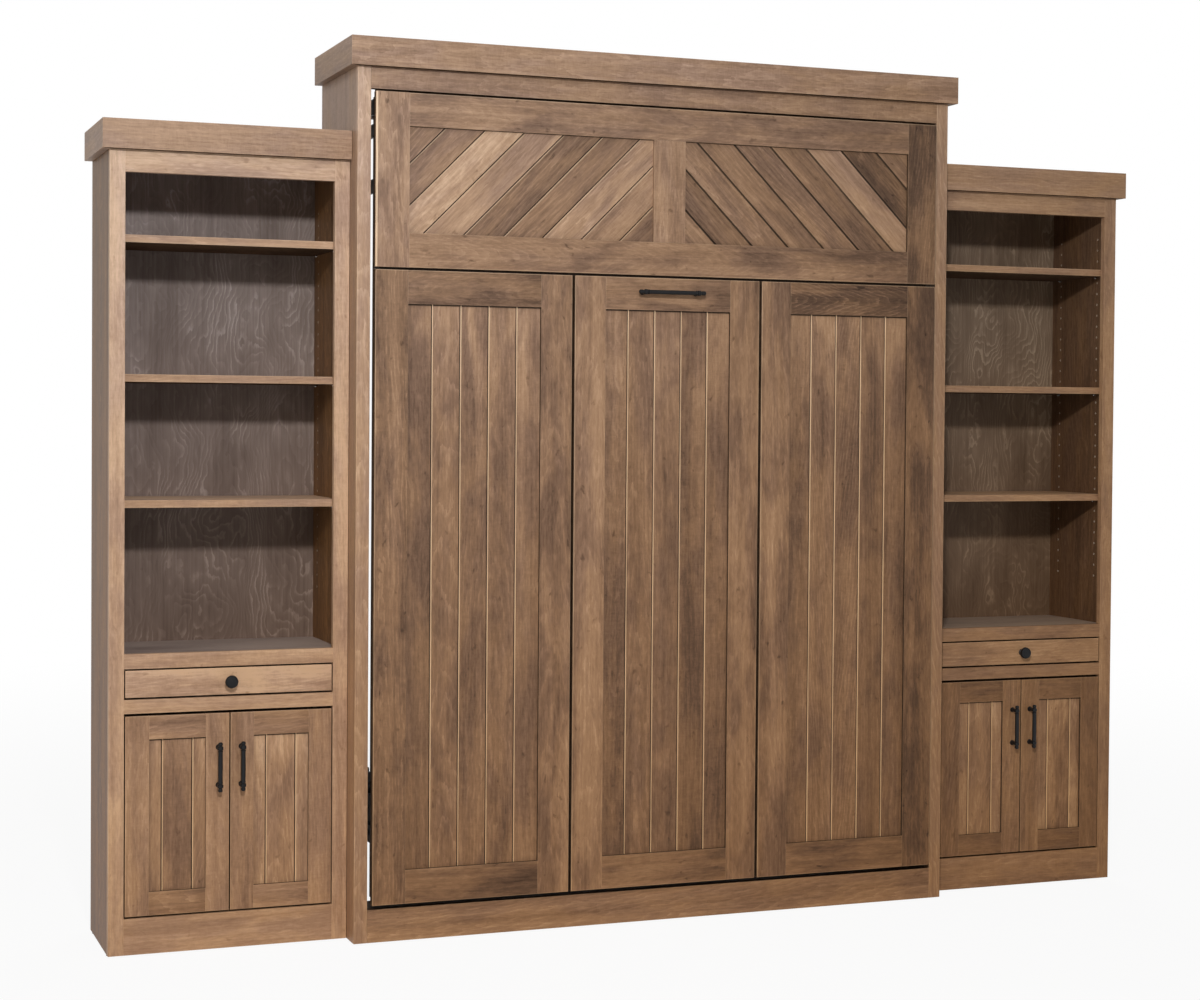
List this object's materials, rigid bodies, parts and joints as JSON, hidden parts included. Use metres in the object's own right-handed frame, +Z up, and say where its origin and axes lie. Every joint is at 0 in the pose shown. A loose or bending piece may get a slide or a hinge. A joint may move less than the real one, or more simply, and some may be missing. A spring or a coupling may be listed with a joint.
{
  "type": "murphy wall bed",
  "caption": "Fold-down wall bed in a plank-faced wooden cabinet with a chevron footboard panel, flanked by open shelf piers with drawers and cupboards.",
  "frame": {"origin": "on the floor, midway across, midway between the front of the bed handle and the wall", "axes": "+X to the right along the wall, +Y towards the wall, +Z up"},
  "size_m": [2.937, 0.432, 2.3005],
  "materials": {
    "stained_maple": "brown stain under satin lacquer",
    "maple_plywood": "brown stained plywood, satin",
    "black_steel": "matte black",
    "polished_steel": "bright plated",
    "glide_plastic": "moulded",
    "mattress_ticking": "quilted knit",
    "strap_webbing": "woven webbing"
  },
  "bodies": {
    "cabinet": {"bed_left_side": "stained_maple", "bed_right_side": "stained_maple", "bed_header_rail": "stained_maple", "bed_base_rail": "stained_maple", "bed_top_panel": "maple_plywood", "bed_crown": "stained_maple", "wall_rail": "maple_plywood", "floor_stretcher": "maple_plywood", "levelling_glides": "glide_plastic", "pivot_plates": "black_steel", "strut_anchors": "black_steel", "shelf_pins": "polished_steel", "drawer_runners": "polished_steel", "left_pier_sides": "stained_maple", "left_pier_back": "maple_plywood", "left_pier_panels": "maple_plywood", "left_pier_face_frame": "stained_maple", "left_pier_crown": "stained_maple", "left_pier_shelves": "stained_maple", "right_pier_sides": "stained_maple", "right_pier_back": "maple_plywood", "right_pier_panels": "maple_plywood", "right_pier_face_frame": "stained_maple", "right_pier_crown": "stained_maple", "right_pier_shelves": "stained_maple"},
    "bed": {"left_face_frame": "stained_maple", "centre_face_frame": "stained_maple", "right_face_frame": "stained_maple", "left_face_planks": "stained_maple", "centre_face_planks": "stained_maple", "right_face_planks": "stained_maple", "bed_deck": "maple_plywood", "bed_side_rails": "maple_plywood", "bed_end_rails": "maple_plywood", "mattress": "mattress_ticking", "mattress_straps": "strap_webbing", "bed_brackets": "black_steel", "bed_handle": "black_steel"},
    "footboard": {"chevron_frame": "stained_maple", "chevron_planks": "stained_maple", "footboard_arms": "black_steel"},
    "strut_cylinder_left": {"strut_cylinder_left": "black_steel"},
    "strut_rod_left": {"strut_rod_left": "polished_steel"},
    "left_inner_door": {"left_inner_door": "stained_maple", "left_inner_door_pull": "black_steel"},
    "left_outer_door": {"left_outer_door": "stained_maple", "left_outer_door_pull": "black_steel"},
    "left_drawer": {"left_drawer_front": "stained_maple", "left_drawer_box": "maple_plywood", "left_drawer_knob": "black_steel"},
    "strut_cylinder_right": {"strut_cylinder_right": "black_steel"},
    "strut_rod_right": {"strut_rod_right": "polished_steel"},
    "right_inner_door": {"right_inner_door": "stained_maple", "right_inner_door_pull": "black_steel"},
    "right_outer_door": {"right_outer_door": "stained_maple", "right_outer_door_pull": "black_steel"},
    "right_drawer": {"right_drawer_front": "stained_maple", "right_drawer_box": "maple_plywood", "right_drawer_knob": "black_steel"}
  },
  "joints": [
    {"name": "bed_fold", "type": "hinge", "parent": "cabinet", "child": "bed", "pos_m": [0, -0.1075, 0.392], "axis": [1, 0, 0], "range_deg": [0, 90]},
    {"name": "footboard_swing", "type": "hinge", "parent": "bed", "child": "footboard", "pos_m": [0, -0.0875, 2.1325], "axis": [1, 0, 0], "range_deg": [-90, 0]},
    {"name": "strut_tilt_left", "type": "hinge", "parent": "cabinet", "child": "strut_cylinder_left", "pos_m": [-0.796, 0.0225, 0.992], "axis": [1, 0, 0], "range_deg": [0, 6.49]},
    {"name": "strut_stroke_left", "type": "slide", "parent": "strut_cylinder_left", "child": "strut_rod_left", "axis": [0, -0.1234, -0.9924], "range_m": [-0.1697, 0]},
    {"name": "left_inner_door_hinge", "type": "hinge", "parent": "cabinet", "child": "left_inner_door", "pos_m": [-0.905, -0.085, 0.35], "axis": [0, 0, 1], "range_deg": [0, 95]},
    {"name": "left_outer_door_hinge", "type": "hinge", "parent": "cabinet", "child": "left_outer_door", "pos_m": [-1.3895, -0.085, 0.35], "axis": [0, 0, -1], "range_deg": [0, 95]},
    {"name": "left_drawer_slide", "type": "slide", "parent": "cabinet", "child": "left_drawer", "axis": [0, -1, 0], "range_m": [0, 0.23]},
    {"name": "strut_tilt_right", "type": "hinge", "parent": "cabinet", "child": "strut_cylinder_right", "pos_m": [0.796, 0.0225, 0.992], "axis": [1, 0, 0], "range_deg": [0, 6.49]},
    {"name": "strut_stroke_right", "type": "slide", "parent": "strut_cylinder_right", "child": "strut_rod_right", "axis": [0, -0.1234, -0.9924], "range_m": [-0.1697, 0]},
    {"name": "right_inner_door_hinge", "type": "hinge", "parent": "cabinet", "child": "right_inner_door", "pos_m": [0.905, -0.085, 0.35], "axis": [0, 0, -1], "range_deg": [0, 95]},
    {"name": "right_outer_door_hinge", "type": "hinge", "parent": "cabinet", "child": "right_outer_door", "pos_m": [1.3895, -0.085, 0.35], "axis": [0, 0, 1], "range_deg": [0, 95]},
    {"name": "right_drawer_slide", "type": "slide", "parent": "cabinet", "child": "right_drawer", "axis": [0, -1, 0], "range_m": [0, 0.23]}
  ],
  "couplings": [
    {"joint": "footboard_swing", "follows": "bed_fold", "ratio": -1},
    {"joint": "strut_tilt_left", "follows": "bed_fold", "ratio": 0.071913},
    {"joint": "strut_stroke_left", "follows": "bed_fold", "m_per_rad": -0.10793},
    {"joint": "strut_tilt_right", "follows": "bed_fold", "ratio": 0.071913},
    {"joint": "strut_stroke_right", "follows": "bed_fold", "m_per_rad": -0.10793}
  ]
}
